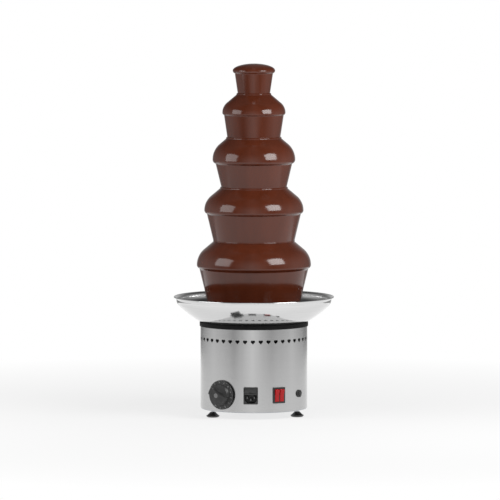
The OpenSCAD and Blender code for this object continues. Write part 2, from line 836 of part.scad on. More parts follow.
// Round under the lip, then down the outside of the curtain and up its inside to a stated height
function curtain_section(level, inner_top_z) =
    let (out_z = landing_z(level, 0), in_z = landing_z(level, curtain_t))
    concat(
        arc([edge_r[level] - lip_round[level], edge_z[level]], lip_round[level], 0, -lip_sweep, 6),
        [[curtain_r(level, out_z), out_z], [curtain_r(level, in_z) - curtain_t, in_z],
         [curtain_top(level).x - curtain_t, inner_top_z]]
    );

// Film on a tier's dish, from where the curtain above lands, over the edge and down as a curtain
module chocolate_tier(level) {
    above_z = landing_z(level - 1, curtain_t);
    land_r = curtain_r(level - 1, above_z) - curtain_t;
    start_r = land_r - run_in;
    dish_r = edge_r[level] - film_t;
    color("saddlebrown") rotate_extrude() polygon(concat(
        [[start_r, dome_z(level, start_r, film_t - seat)], [land_r, dome_z(level, land_r)]],
        arc(dome_centre(level), edge_round[level], dome_turn, 10),
        curtain_section(level, curtain_top(level).y),
        [[dish_r - dish_wall - seat, edge_z[level] - seat]],
        [[dish_r + seat, edge_z[level] - seat]],
        arc(dome_centre(level), edge_round[level] - film_t + seat, 0, dome_turn)
    ));
}

// Chocolate that wells up over the crown cup and falls from its rim
module chocolate_crown() {
    dome = [for (a = [90:-10:10]) [edge_r[crown] * cos(a), edge_z[crown] + crown_dome_h * sin(a)]];
    under = (cup_rim.y - dish_wall - tube_top) / (cup_rim.x - hub_out_r);
    inner_top = cup_rim.y - dish_wall - 2 * seat - under * (cup_rim.x - curtain_top(crown).x + curtain_t);
    color("saddlebrown") rotate_extrude() polygon(concat(
        dome,
        curtain_section(crown, min(curtain_top(crown).y, inner_top)),
        [cup_rim + [seat, -dish_wall - seat], cup_rim + [seat, seat], cup_rim + [-dish_wall - seat, seat],
         cup_root + [0, 2 * seat], [0, cup_root.y + 2 * seat]]
    ));
}

// Controls on the drum's wall

// Thermostat: a case behind the wall and a bush that the spindle turns in
module thermostat_body() {
    color("gainsboro") on_drum(knob_angle) difference() {
        union() {
            translate([0, 0, thermostat_front - thermostat_l / 2])
                cube([thermostat_w, thermostat_w, thermostat_l], center = true);
            translate([0, 0, thermostat_front - through])
                cylinder(d = spindle_d + 4, h = knob_gap - thermostat_front + through - 2 * slip);
        }
        translate([0, 0, -spindle_depth - seat])
            cylinder(r = spindle_d / 2 + running, h = spindle_depth + knob_gap + through);
    }
}

module thermostat_spindle() {
    color("gainsboro") on_drum(knob_angle) translate([0, 0, -spindle_depth])
        cylinder(d = spindle_d, h = spindle_end + spindle_depth);
}

module thermostat_knob() {
    edge = 1;
    top = grip_z + grip_h;
    body_taper = 2;
    body_h = 6;
    color("black") on_drum(knob_angle) rotate([0, 0, grip_turn]) difference() {
        union() {
            rotate_extrude() polygon([
                [0, knob_gap], [knob_d / 2 - edge, knob_gap], [knob_d / 2, knob_gap + edge],
                [knob_d / 2, grip_z - edge], [knob_d / 2 - edge, grip_z], [knob_body_d / 2, grip_z],
                [knob_body_d / 2 - body_taper, grip_z + body_h], [0, grip_z + body_h]
            ]);
            intersection() {
                translate([-knob_d / 2, -grip_w / 2, grip_z - through]) cube([knob_d, grip_w, grip_h + through]);
                translate([0, 0, grip_z - through]) rotate_extrude() polygon([
                    [0, 0], [knob_body_d / 2, 0], [knob_body_d / 2 - body_taper, grip_h + through - edge],
                    [knob_body_d / 2 - body_taper - edge, grip_h + through], [0, grip_h + through]
                ]);
            }
        }
        translate([0, 0, knob_gap - through])
            cylinder(r = spindle_d / 2 + seat, h = spindle_end - knob_gap + seat + through);
        translate([0, 0, top - cap_t]) cylinder(d = knob_cap_d + 2 * seat, h = cap_t + through);
    }
}

module knob_cap() {
    color("gray") on_drum(knob_angle) translate([0, 0, grip_z + grip_h - cap_t])
        cylinder(d = knob_cap_d, h = cap_t + seat);
}

// Switch: a case with a pocket for each rocker and bores for their trunnions
module switch_body() {
    pocket_w = rocker_w + 2 * rocker_side;
    pocket_h = 2 * (rocker_r + rocker_end_gap);
    pocket_floor = rocker_pivot - rocker_drop - 2;
    color("black") on_drum(switch_angle) difference() {
        union() {
            wall_frame(switch_w, switch_h);
            translate([0, 0, (frame_t - switch_depth) / 2 - seat]) cube([switch_w - 2 * frame_lap,
                switch_h - 2 * frame_lap, switch_depth + frame_t - 2 * seat], center = true);
        }
        for (side = [-1, 1]) translate([side * rocker_pitch / 2, 0, pocket_floor + switch_depth / 2])
            cube([pocket_w, pocket_h, switch_depth], center = true);
        translate([0, 0, rocker_pivot]) rotate([0, 90, 0])
            cylinder(d = trunnion_d + 2 * running, h = rocker_pitch + rocker_w + 2 * trunnion_l + 2 * seat,
                     center = true, $fn = 32);
    }
}

// Rocker at rest, with its upper end out
module rocker(side) {
    color("red") on_drum(switch_angle) translate([side * rocker_pitch / 2, 0, rocker_pivot])
        rotate([rocker_tilt, 0, 0]) rotate([90, 0, 90]) {
            translate([0, 0, -rocker_w / 2]) linear_extrude(rocker_w) intersection() {
                circle(rocker_r);
                polygon([[-2 * rocker_r, rocker_end_h * 2 - rocker_mid_h], [0, rocker_mid_h],
                         [2 * rocker_r, rocker_end_h * 2 - rocker_mid_h],
                         [2 * rocker_r, -rocker_drop], [-2 * rocker_r, -rocker_drop]]);
            }
            cylinder(d = trunnion_d, h = rocker_w + 2 * trunnion_l, center = true, $fn = 32);
        }
}

// Mains inlet: a frame with a bevelled socket below and a slot for the fuse drawer above
module socket_outline() {
    polygon([
        [-socket_w / 2, socket_h / 2], [socket_w / 2, socket_h / 2],
        [socket_w / 2, socket_bevel - socket_h / 2], [socket_w / 2 - socket_bevel, -socket_h / 2],
        [socket_bevel - socket_w / 2, -socket_h / 2], [-socket_w / 2, socket_bevel - socket_h / 2]
    ]);
}

function blade_places() = [[-blade_spread, blade_y], [blade_spread, blade_y], [0, earth_y]];

module inlet_body() {
    color("black") on_drum(0) difference() {
        union() {
            wall_frame(inlet_w, inlet_h);
            translate([0, 0, (frame_t - inlet_depth) / 2 - seat]) cube([inlet_w - 2 * frame_lap,
                inlet_h - 2 * frame_lap, inlet_depth + frame_t - 2 * seat], center = true);
        }
        translate([0, socket_y, -socket_l]) linear_extrude(2 * socket_l) socket_outline();
        translate([0, drawer_y, 0]) cube([drawer_w + 2 * slip, drawer_h + 2 * slip,
                                          2 * (drawer_l + slip)], center = true);
        for (p = blade_places()) translate([p.x, p.y, -inlet_depth])
            cube([blade.x + 2 * seat, blade.y + 2 * seat, inlet_depth], center = true);
    }
}

module inlet_pins() {
    low = -inlet_depth - blade_tail;
    color("gainsboro") on_drum(0) for (p = blade_places())
        translate([p.x, p.y, (low + blade_tip) / 2]) cube([blade.x, blade.y, blade_tip - low], center = true);
}

// Drawer with a trough across it for the fuse, and a finger notch in its face
module fuse_drawer() {
    notch_w = 6;
    notch_h = 1.6;
    face = frame_t + drawer_lip;
    trough_d = fuse_d + 2 * seat;
    color("black") on_drum(0) translate([0, drawer_y, 0]) difference() {
        translate([0, 0, (face - drawer_l) / 2])
            cube([drawer_w, drawer_h, drawer_l + face], center = true);
        translate([0, 0, fuse_z]) rotate([0, 90, 0])
            cylinder(d = trough_d, h = fuse_l + 2 * seat, center = true, $fn = 32);
        translate([0, drawer_h / 2, fuse_z])
            cube([fuse_l + 2 * seat, drawer_h, trough_d], center = true);
        translate([0, -drawer_h / 2, face]) cube([notch_w, 2 * notch_h, 2 * notch_h], center = true);
    }
}

module fuse_link() {
    color("lightblue") on_drum(0) translate([0, drawer_y, fuse_z]) rotate([0, 90, 0])
        cylinder(d = fuse_d, h = fuse_l, center = true, $fn = 32);
}

// Overload button in a collar, with its case behind the wall
module reset_body() {
    case_w = 18;
    case_front = -5;
    bore_floor = button_root - reset_travel - seat;
    color("black") on_drum(reset_angle) difference() {
        union() {
            difference() {
                translate([0, 0, -frame_t]) cylinder(d = reset_d, h = frame_t + collar_h);
                drum_space();
            }
            translate([0, 0, case_front]) cylinder(d = reset_barrel_d, h = collar_h - case_front - seat);
            translate([0, 0, (case_front - reset_depth) / 2])
                cube([case_w, case_w, reset_depth + case_front], center = true);
        }
        translate([0, 0, bore_floor])
            cylinder(r = reset_button_d / 2 + running, h = collar_h - bore_floor + through);
    }
}

module reset_button() {
    dome = 1;
    radius = reset_button_d / 2;
    color("black") on_drum(reset_angle) rotate_extrude() polygon([
        [0, button_root], [radius, button_root], [radius, button_top - dome],
        [radius - dome, button_top], [0, button_top]
    ]);
}

// Feet

// Pad with a round edge and a hollow cone up to its neck, and a blind bore for its stud
module foot_pad(angle) {
    edge_h = 3.6;
    hollow = 1.35;
    neck_r = pad_neck_d / 2;
    flat_r = pad_flat_d / 2;
    under = [for (a = [0:15:90]) [flat_r + (pad_d / 2 - flat_r) * sin(a), edge_h * (1 - cos(a))]];
    cone = [for (t = [0.125:0.125:1])
        [pad_d / 2 - (pad_d / 2 - neck_r) * t, edge_h + (pad_h - edge_h) * pow(t, hollow)]];
    color("black") round_axis([angle], foot_r) rotate_extrude() polygon(concat(
        [[0, 0]], under, cone,
        [[stud_d / 2 + seat, pad_h], [stud_d / 2 + seat, pad_h / 2], [0, pad_h / 2]]
    ));
}

module foot_stud(angle) {
    color("gainsboro") round_axis([angle], foot_r) translate([0, 0, pad_h / 2 + seat])
        cylinder(d = stud_d, h = stud_l);
}

housing_drum();
base_plate();
tie_rods();
tie_nuts();
foot_nuts();
trim_ring();
bowl();
locating_pegs();
shaft_bush();
bush_nut();
shaft_seal();
heater_ring();
heater_clamp();
motor_plate();
gearbox();
motor_can();
motor_screws();
thermostat_body();
sensor_bulb();
switch_body();
inlet_body();
inlet_pins();
reset_body();
chocolate_pool();
drive_shaft();
drive_pin();
auger_shaft();
auger_flight();
tower_tube();
tower_foot();
tier_pins();
tier_dish(1);  // tier_two_dish
tier_dish(2);  // tier_three_dish
tier_dish(3);  // tier_four_dish
tier_dish(4);  // tier_five_dish
chocolate_tier(1);  // chocolate_tier_two
chocolate_tier(2);  // chocolate_tier_three
chocolate_tier(3);  // chocolate_tier_four
chocolate_tier(4);  // chocolate_tier_five
crown_cup();
chocolate_crown();
thermostat_knob();
thermostat_spindle();
knob_cap();
rocker(-1);  // rocker_left
rocker(1);  // rocker_right
reset_button();
fuse_drawer();
fuse_link();
foot_pad(foot_angles[0]);  // foot_left_pad
foot_stud(foot_angles[0]);  // foot_left_stud
foot_pad(foot_angles[1]);  // foot_right_pad
foot_stud(foot_angles[1]);  // foot_right_stud
foot_pad(foot_angles[2]);  // foot_rear_pad
foot_stud(foot_angles[2]);  // foot_rear_stud
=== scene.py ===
import math
from collections import namedtuple

import bmesh
import bpy
from mathutils import Matrix, Vector


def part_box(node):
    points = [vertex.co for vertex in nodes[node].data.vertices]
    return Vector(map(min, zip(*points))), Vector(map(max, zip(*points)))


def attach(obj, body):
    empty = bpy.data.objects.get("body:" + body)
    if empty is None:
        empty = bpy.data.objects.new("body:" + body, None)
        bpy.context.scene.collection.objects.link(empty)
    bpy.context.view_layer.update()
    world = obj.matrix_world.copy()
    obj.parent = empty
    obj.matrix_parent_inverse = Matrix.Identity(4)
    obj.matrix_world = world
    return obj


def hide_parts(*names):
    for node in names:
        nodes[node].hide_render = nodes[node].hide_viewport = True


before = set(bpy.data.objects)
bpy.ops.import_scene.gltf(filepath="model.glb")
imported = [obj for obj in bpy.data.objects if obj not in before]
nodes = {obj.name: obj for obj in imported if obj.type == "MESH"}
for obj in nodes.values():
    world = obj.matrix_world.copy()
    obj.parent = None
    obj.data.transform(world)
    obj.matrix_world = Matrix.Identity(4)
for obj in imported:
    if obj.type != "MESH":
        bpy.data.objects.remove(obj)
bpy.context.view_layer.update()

scene = bpy.context.scene
MM = 0.001

# Camera: a long lens far in front, a little to the right of the inlet and above the bowl
PIXEL = 1.947 * MM
PICTURE = 500
AXIS_PIXEL = 253.9
CAMERA_DISTANCE = 9.735
CAMERA_AZIMUTH = 3.4
CAMERA_ELEVATION = 4.23
AIM_HEIGHT = 0.3217
LENS = 360


def direction(azimuth, elevation):
    """Unit vector from the axis; azimuth counts from the front (-Y) towards the right (+X)."""
    a = math.radians(azimuth)
    e = math.radians(elevation)
    return Vector((math.sin(a) * math.cos(e), -math.cos(a) * math.cos(e), math.sin(e)))


def add_camera():
    outwards = direction(CAMERA_AZIMUTH, CAMERA_ELEVATION)
    right = direction(CAMERA_AZIMUTH + 90, 0)
    aim = Vector((0, 0, AIM_HEIGHT)) - right * (AXIS_PIXEL - PICTURE / 2) * PIXEL
    data = bpy.data.cameras.new("camera")
    data.lens = LENS
    data.sensor_width = 36
    data.clip_end = 500
    camera = bpy.data.objects.new("camera", data)
    camera.location = aim + outwards * CAMERA_DISTANCE
    camera.rotation_euler = outwards.to_track_quat("Z", "Y").to_euler()
    scene.collection.objects.link(camera)
    scene.camera = camera


# Materials

class Shader:
    """A material's node tree with one Principled shader, and short ways to add texture nodes."""

    def __init__(self, name, colour, roughness, **sockets):
        self.material = bpy.data.materials.new(name)
        self.material.use_nodes = True
        self.tree = self.material.node_tree
        self.principled = self.tree.nodes["Principled BSDF"]
        self.set("Base Color", (*colour, 1))
        self.set("Roughness", roughness)
        for socket, value in sockets.items():
            self.set(socket.replace("_", " "), value)
        self.place = self.add("ShaderNodeTexCoord").outputs["Object"]

    def set(self, socket, value):
        self.principled.inputs[socket].default_value = value

    def add(self, kind, **settings):
        node = self.tree.nodes.new(kind)
        for key, value in settings.items():
            if key in node.inputs:
                node.inputs[key].default_value = value
            else:
                setattr(node, key, value)
        return node

    def link(self, source, target):
        self.tree.links.new(source, target)

    def stretched(self, scale):
        """Object coordinates, scaled along each axis."""
        mapping = self.add("ShaderNodeMapping")
        mapping.inputs["Scale"].default_value = scale
        self.link(self.place, mapping.inputs["Vector"])
        return mapping.outputs["Vector"]

    def noise(self, vector, scale, detail=3.0):
        texture = self.add("ShaderNodeTexNoise", Scale=scale, Detail=detail)
        self.link(vector, texture.inputs["Vector"])
        return texture.outputs["Fac"]

    def spread(self, fac, low, high):
        """Maps the middle of a noise onto a range."""
        ramp = self.add("ShaderNodeMapRange")
        for socket, value in (("From Min", 0.3), ("From Max", 0.7), ("To Min", low), ("To Max", high)):
            ramp.inputs[socket].default_value = value
        self.link(fac, ramp.inputs["Value"])
        return ramp.outputs["Result"]

    def vary_colour(self, fac, dark, light):
        ramp = self.add("ShaderNodeValToRGB")
        ramp.color_ramp.elements[0].position = 0.3
        ramp.color_ramp.elements[0].color = (*dark, 1)
        ramp.color_ramp.elements[1].position = 0.7
        ramp.color_ramp.elements[1].color = (*light, 1)
        self.link(fac, ramp.inputs["Fac"])
        self.link(ramp.outputs["Color"], self.principled.inputs["Base Color"])

    def vary_roughness(self, fac, low, high):
        self.link(self.spread(fac, low, high), self.principled.inputs["Roughness"])

    def bump(self, fac, depth):
        node = self.add("ShaderNodeBump", Distance=depth, Strength=1.0)
        self.link(fac, node.inputs["Height"])
        self.link(node.outputs["Normal"], self.principled.inputs["Normal"])


def grey(level):
    return (level, level, level)


def brushed_steel():
    """Drum sheet, brushed round its axis, so reflections smear up and down."""
    shader = Shader("brushed_steel", grey(0.56), 0.2, Metallic=1.0, Anisotropic=0.8,
                    Anisotropic_Rotation=0.25)
    tangent = shader.add("ShaderNodeTangent", direction_type="RADIAL", axis="Z")
    shader.link(tangent.outputs[0], shader.principled.inputs["Tangent"])
    lines = shader.noise(shader.stretched((5, 5, 2600)), 1.0, 2.0)
    shader.vary_colour(lines, grey(0.545), grey(0.575))
    shader.vary_roughness(shader.noise(shader.stretched((9, 9, 900)), 1.0), 0.18, 0.21)
    return shader.material


def polished_steel():
    """Spun bowl: mirror finish with fine rings and faint smears."""
    shader = Shader("polished_steel", grey(0.74), 0.08, Metallic=1.0)
    rings = shader.noise(shader.stretched((5, 5, 1500)), 1.0, 2.0)
    shader.vary_colour(rings, grey(0.72), grey(0.76))
    shader.vary_roughness(shader.noise(shader.place, 22.0), 0.06, 0.10)
    return shader.material


def satin_steel():
    shader = Shader("satin_steel", grey(0.62), 0.22, Metallic=1.0)
    lines = shader.noise(shader.stretched((8, 8, 1800)), 1.0, 2.0)
    shader.vary_colour(lines, grey(0.56), grey(0.66))
    shader.vary_roughness(lines, 0.18, 0.28)
    return shader.material


def zinc_plate():
    shader = Shader("zinc_plate", (0.55, 0.57, 0.60), 0.35, Metallic=1.0)
    spangle = shader.noise(shader.place, 160.0, 4.0)
    shader.vary_colour(spangle, (0.46, 0.48, 0.52), (0.62, 0.63, 0.64))
    shader.vary_roughness(spangle, 0.28, 0.42)
    return shader.material


def cast_alloy():
    shader = Shader("cast_alloy", (0.30, 0.31, 0.32), 0.5, Metallic=0.9)
    grain = shader.noise(shader.place, 700.0, 4.0)
    shader.vary_colour(grain, (0.25, 0.26, 0.27), (0.36, 0.37, 0.38))
    shader.bump(grain, 0.15 * MM)
    return shader.material


def turned_brass():
    shader = Shader("turned_brass", (0.62, 0.44, 0.18), 0.28, Metallic=1.0)
    lines = shader.noise(shader.stretched((8, 8, 2200)), 1.0, 2.0)
    shader.vary_colour(lines, (0.52, 0.36, 0.13), (0.68, 0.50, 0.22))
    shader.vary_roughness(lines, 0.22, 0.36)
    return shader.material


def heater_case():
    shader = Shader("heater_case", (0.10, 0.095, 0.09), 0.55, Metallic=0.8)
    stain = shader.noise(shader.place, 60.0, 4.0)
    shader.vary_colour(stain, (0.07, 0.065, 0.06), (0.15, 0.13, 0.11))
    return shader.material


def moulded(name, dark, light, roughness, grain_depth=0.04 * MM, grain=1600.0, **sockets):
    """Moulded plastic or rubber with a fine grain."""
    shader = Shader(name, light, roughness, **sockets)
    pattern = shader.noise(shader.place, grain, 2.0)
    shader.vary_colour(shader.noise(shader.place, 90.0), dark, light)
    shader.vary_roughness(pattern, roughness - 0.05, roughness + 0.05)
    shader.bump(pattern, grain_depth)
    return shader.material


def chocolate():
    """Melted chocolate: a brown body under a wet, glossy skin."""
    shader = Shader("chocolate", (0.100, 0.022, 0.009), 0.13)
    flow = shader.noise(shader.stretched((50, 50, 5)), 1.0, 3.0)
    shader.vary_colour(flow, (0.091, 0.020, 0.008), (0.109, 0.024, 0.010))
    shader.vary_roughness(shader.noise(shader.stretched((80, 80, 12)), 1.0), 0.10, 0.16)
    return shader.material


MATERIALS = {
    "mirror_steel": polished_steel(),
    "food_steel": satin_steel(),
    "zinc_steel": zinc_plate(),
    "motor_alloy": cast_alloy(),
    "bearing_brass": turned_brass(),
    "heater_case": heater_case(),
    "black_rubber": moulded("black_rubber", grey(0.005), grey(0.009), 0.55, Specular_IOR_Level=0.12),
    "foot_plastic": moulded("gloss_black", grey(0.006), grey(0.012), 0.10, 0.01 * MM,
                            Specular_IOR_Level=0.9),
    "black_plastic": moulded("grained_black", grey(0.024), grey(0.036), 0.40),
    "grey_plastic": moulded("silver_grey", grey(0.17), grey(0.23), 0.35, 0.01 * MM, Metallic=0.6),
    "red_lens": moulded("red_lens", (0.40, 0.008, 0.010), (0.52, 0.012, 0.014), 0.25, 0.01 * MM,
                        Specular_IOR_Level=0.3),
    "fuse_glass": moulded("fuse_glass", (0.75, 0.82, 0.84), (0.85, 0.90, 0.92), 0.08, 0.0,
                          Transmission_Weight=0.8),
    "chocolate": chocolate(),
}
SPECIAL = {
    "housing_drum": brushed_steel(),
    "inlet_pins": moulded("nickel_pins", grey(0.12), grey(0.17), 0.45, 0.01 * MM, Metallic=0.9),
}
PRINT = moulded("white_print", grey(0.42), grey(0.52), 0.40)


def dress_nodes():
    """Gives each CAD node the finish of its slot in the record."""
    for name, node in nodes.items():
        for index, old in enumerate(node.data.materials):
            node.data.materials[index] = SPECIAL.get(name) or MATERIALS[old.name.split(".")[0]]


# Chocolate on the tower, in millimetres: near the solids' sections, with fuller lips, beads and ripples

Level = namedtuple("Level", "node body edge_r edge_z edge_round lip lean bead")
LEVELS = [
    Level("chocolate_crown", "crown", 41.2, 671.2, 0, 5.5, 0.15, 2.4),
    Level("chocolate_tier_two", "tower", 61.4, 589.3, 25.5, 4.5, 0.15, 2.4),
    Level("chocolate_tier_three", "tower", 80.4, 498.1, 40, 8.0, 0.24, 2.4),
    Level("chocolate_tier_four", "tower", 96.5, 399.5, 36, 6.6, 0.24, 1.4),
    Level("chocolate_tier_five", "tower", 111.1, 292.9, 40, 6.6, 0.24, 1.4),
]
TIER_SLOPE = math.radians(40)
LIP_SWEEP = math.radians(75)
FILM = 3.0
CURTAIN = 2.5
DISH_WALL = 1.2
SEAT = 0.1
CROWN_DOME = 13.4
CUP_Z = 672.5
CUP_DEPTH = 10
CUP_CLEAR = 0.6
TUBE_R = 26.0
POOL_Z = 202.7
ROUND_STEPS = 240
CURTAIN_ROWS = 28
CREASE = 0.25
BEAD_FIRST_GUESS = math.radians(50)
BEAD_END = math.radians(-60)
DOME_UNEVEN = 0.12
FOLD_DEPTH = 0.35
PHASE_STEP = 1.7
# Where a bead's middle lies, out from the foot of its curtain and up from it, in radii of the bead
UPPER_LEVELS = 3
UPPER_BEAD = (0.07, -0.5)
LOWER_BEAD = (-0.35, 0.75)


def arc(centre, radius, start, end, steps=16):
    points = []
    for i in range(steps + 1):
        a = start + (end - start) * i / steps
        points.append((centre[0] + radius * math.cos(a), centre[1] + radius * math.sin(a)))
    return points


def dome_centre(level):
    return (level.edge_r - level.edge_round, level.edge_z)


def dome_z(level, radius, inset=0.0):
    """Height of a tier's cone at a radius, or of a face inset below it."""
    turn = math.pi / 2 - TIER_SLOPE
    turn_r = dome_centre(level)[0] + (level.edge_round - inset) * math.cos(turn)
    turn_z = level.edge_z + (level.edge_round - inset) * math.sin(turn)
    return turn_z + math.tan(TIER_SLOPE) * (turn_r - radius)


def curtain_top(level):
    return (level.edge_r - level.lip + level.lip * math.cos(LIP_SWEEP),
            level.edge_z - level.lip * math.sin(LIP_SWEEP))


def curtain_r(level, z):
    top_r, top_z = curtain_top(level)
    return top_r - level.lean * (top_z - z)


def landing_z(index, inset=0.0):
    """Height at which a curtain, or a face inset from its outside, meets the level below."""
    level = LEVELS[index]
    if index == len(LEVELS) - 1:
        return POOL_Z
    below = LEVELS[index + 1]
    z = level.edge_z
    for _ in range(40):
        z = dome_z(below, curtain_r(level, z) - inset)
    return z


def bead_centre(index):
    """Middle, in section, of the small bead at the foot of a curtain."""
    level = LEVELS[index]
    z = landing_z(index)
    out, rise = UPPER_BEAD if index < UPPER_LEVELS else LOWER_BEAD
    return (curtain_r(level, z) + out * level.bead, z + rise * level.bead)


def bead_start(index):
    """Angle on the bead at which it comes out of the curtain above it."""
    level = LEVELS[index]
    centre_r, centre_z = bead_centre(index)
    angle = BEAD_FIRST_GUESS
    for _ in range(20):
        out = curtain_r(level, centre_z + level.bead * math.sin(angle)) - centre_r
        angle = math.acos(out / level.bead)
    return angle


def curtain_points(index, inner_drop=0.0):
    """Round under the lip, down the outside to a small bead at the foot, and up the inside."""
    level = LEVELS[index]
    lip_centre = (level.edge_r - level.lip, level.edge_z)
    out_z = landing_z(index)
    in_z = landing_z(index, CURTAIN)
    top_r, top_z = curtain_top(level)
    bead_z = bead_centre(index)[1] + level.bead * math.sin(bead_start(index))
    points = arc(lip_centre, level.lip, 0, -LIP_SWEEP, 10)
    for i in range(1, CURTAIN_ROWS + 1):
        z = top_z + (bead_z + CREASE - top_z) * i / CURTAIN_ROWS
        points.append((curtain_r(level, z), z))
    points += arc(bead_centre(index), level.bead, bead_start(index), BEAD_END, 12)
    points += [(curtain_r(level, in_z) - CURTAIN, in_z), (top_r - CURTAIN, top_z - inner_drop)]
    return points


def tier_section(index):
    level = LEVELS[index]
    turn = math.pi / 2 - TIER_SLOPE
    above_z = landing_z(index - 1, CURTAIN)
    land_r = curtain_r(LEVELS[index - 1], above_z) - CURTAIN
    start_r = land_r - 2
    dish_r = level.edge_r - FILM
    points = [(start_r, dome_z(level, start_r, FILM - SEAT))]
    turn_r = dome_centre(level)[0] + level.edge_round * math.cos(turn)
    for i in range(10):
        r = land_r + (turn_r - land_r) * i / 10
        points.append((r, dome_z(level, r)))
    points += arc(dome_centre(level), level.edge_round, turn, math.radians(2), 24)
    points += curtain_points(index)
    points += [(dish_r - DISH_WALL - SEAT, level.edge_z - SEAT), (dish_r + SEAT, level.edge_z - SEAT)]
    points += arc(dome_centre(level), level.edge_round - FILM + SEAT, 0, turn)
    return points


def crown_section():
    level = LEVELS[0]
    rim_r = level.edge_r - FILM
    rim_z = CUP_Z - DISH_WALL
    root_z = CUP_Z - CUP_DEPTH + DISH_WALL
    points = []
    for i in range(25):
        a = math.radians(90 - 88 * i / 24)
        points.append((level.edge_r * math.cos(a), level.edge_z + CROWN_DOME * math.sin(a)))
    points += curtain_points(0, CUP_CLEAR)
    points += [(rim_r + SEAT, rim_z - DISH_WALL - SEAT), (rim_r + SEAT, rim_z + SEAT),
               (rim_r - DISH_WALL - SEAT, rim_z + SEAT), (TUBE_R, root_z + 2 * SEAT), (0, root_z + 2 * SEAT)]
    return points


def lathe(name, section, ripple, closed):
    """Turns a section of (radius, height) points in millimetres about the Z axis."""
    grid = bmesh.new()
    rings = []
    for r, z in section:
        ring = []
        for i in range(ROUND_STEPS):
            a = 2 * math.pi * i / ROUND_STEPS
            shift_r, shift_z = ripple(r, z, a)
            moved = max(r + shift_r, 0.0) * MM
            ring.append(grid.verts.new((moved * math.sin(a), -moved * math.cos(a), (z + shift_z) * MM)))
        rings.append(ring)
    count = len(rings) if closed else len(rings) - 1
    for k in range(count):
        low = rings[k]
        high = rings[(k + 1) % len(rings)]
        for i in range(ROUND_STEPS):
            j = (i + 1) % ROUND_STEPS
            grid.faces.new((low[i], high[i], high[j], low[j]))
    bmesh.ops.remove_doubles(grid, verts=grid.verts, dist=0.01 * MM)
    bmesh.ops.recalc_face_normals(grid, faces=grid.faces)
    mesh = bpy.data.meshes.new(name)
    grid.to_mesh(mesh)
    grid.free()
    mesh.shade_smooth()
    piece = bpy.data.objects.new(name, mesh)
    scene.collection.objects.link(piece)
    return piece


def waves(angle, counts, seed):
    """A sum of cosines round the axis, with phases spread by a seed."""
    total = 0.0
    for k, n in enumerate(counts):
        total += math.cos(n * angle + seed * (k + 1) * PHASE_STEP)
    return total / len(counts)


def flow_ripple(index):
    """Soft folds down a curtain, and a slight unevenness of the dome above it."""
    level = LEVELS[index]
    fall = curtain_top(level)[1] - landing_z(index)

    def ripple(r, z, a):
        if r < 1:
            return 0.0, 0.0
        if z > level.edge_z - SEAT:
            return 0.0, DOME_UNEVEN * waves(a, (3, 5), index + 1)
        down = min(max((curtain_top(level)[1] - z) / fall, 0.0), 1.0)
        return FOLD_DEPTH * down * waves(a, (7, 12, 19), index + 2), 0.0

    return ripple


# The pool lies in the bowl, whose wall is an arc in section
POOL_IN_R = 42.5
POOL_LOW = 183.9
WALL_CENTRE = (-8.7, 374.9)
WALL_R = 221.6
MENISCUS = 0.7
MENISCUS_REACH = 2.5
# Rings on the pool: radians per millimetre, how far they sway, and height and reach of rings and of swell
RING_PITCH = 0.95
RING_SWAY = 0.8
RING_HEIGHT = 0.45
RING_REACH = 14
SWELL_HEIGHT = 0.12
SWELL_REACH = 30


def wall_r(z):
    return WALL_CENTRE[0] + math.sqrt(WALL_R ** 2 - (WALL_CENTRE[1] - z) ** 2)


def pool_section():
    top = POOL_Z + MENISCUS
    points = [(POOL_IN_R, POOL_LOW)]
    for i in range(13):
        z = POOL_LOW + (top - POOL_LOW) * i / 12
        points.append((wall_r(z), z))
    edge = wall_r(top)
    for i in range(1, 91):
        r = edge + (POOL_IN_R - edge) * i / 90
        points.append((r, POOL_Z + MENISCUS * math.exp((r - edge) / MENISCUS_REACH)))
    return points


def pool_ripple(r, z, a):
    """Rings that run out from the foot of the lowest curtain and die away."""
    away = r - curtain_r(LEVELS[-1], POOL_Z)
    if z < POOL_Z or away < 0:
        return 0.0, 0.0
    ring = math.cos(RING_PITCH * away + RING_SWAY * waves(a, (3, 5), 2))
    swell = SWELL_HEIGHT * math.exp(-away / SWELL_REACH) * waves(a, (4, 7), 5)
    return 0.0, RING_HEIGHT * math.exp(-away / RING_REACH) * ring + swell


def add_pool():
    piece = lathe("rippled_pool", pool_section(), pool_ripple, True)
    piece.data.materials.append(MATERIALS["chocolate"])
    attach(piece, "base")
    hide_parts("chocolate_pool")


def add_chocolate():
    for index, level in enumerate(LEVELS):
        section = tier_section(index) if index else crown_section()
        piece = lathe(level.node.replace("chocolate", "flowing"), section, flow_ripple(index), bool(index))
        piece.data.materials.append(MATERIALS["chocolate"])
        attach(piece, level.body)
        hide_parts(level.node)


# Controls: moulded pieces with rounded edges, and the print on the knob's skirt

SOFTENED = [
    ("thermostat_knob", "knob", 0.7, "black_plastic"),
    ("inlet_body", "base", 0.4, "black_plastic"),
    ("fuse_drawer", "drawer", 0.3, "black_plastic"),
    ("switch_body", "base", 0.4, "black_plastic"),
    ("rocker_left", "left_rocker", 0.4, "red_lens"),
    ("rocker_right", "right_rocker", 0.4, "red_lens"),
    ("reset_body", "base", 0.4, "black_plastic"),
    ("reset_button", "overload_button", 0.5, "black_plastic"),
]
FLAT_ANGLE = math.radians(1)
EDGE_ANGLE = math.radians(25)
SMOOTH_ANGLE = math.radians(32)


def add_piece(name, mesh, body, material):
    mesh.materials.append(material)
    piece = bpy.data.objects.new(name, mesh)
    scene.collection.objects.link(piece)
    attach(piece, body)
    return piece


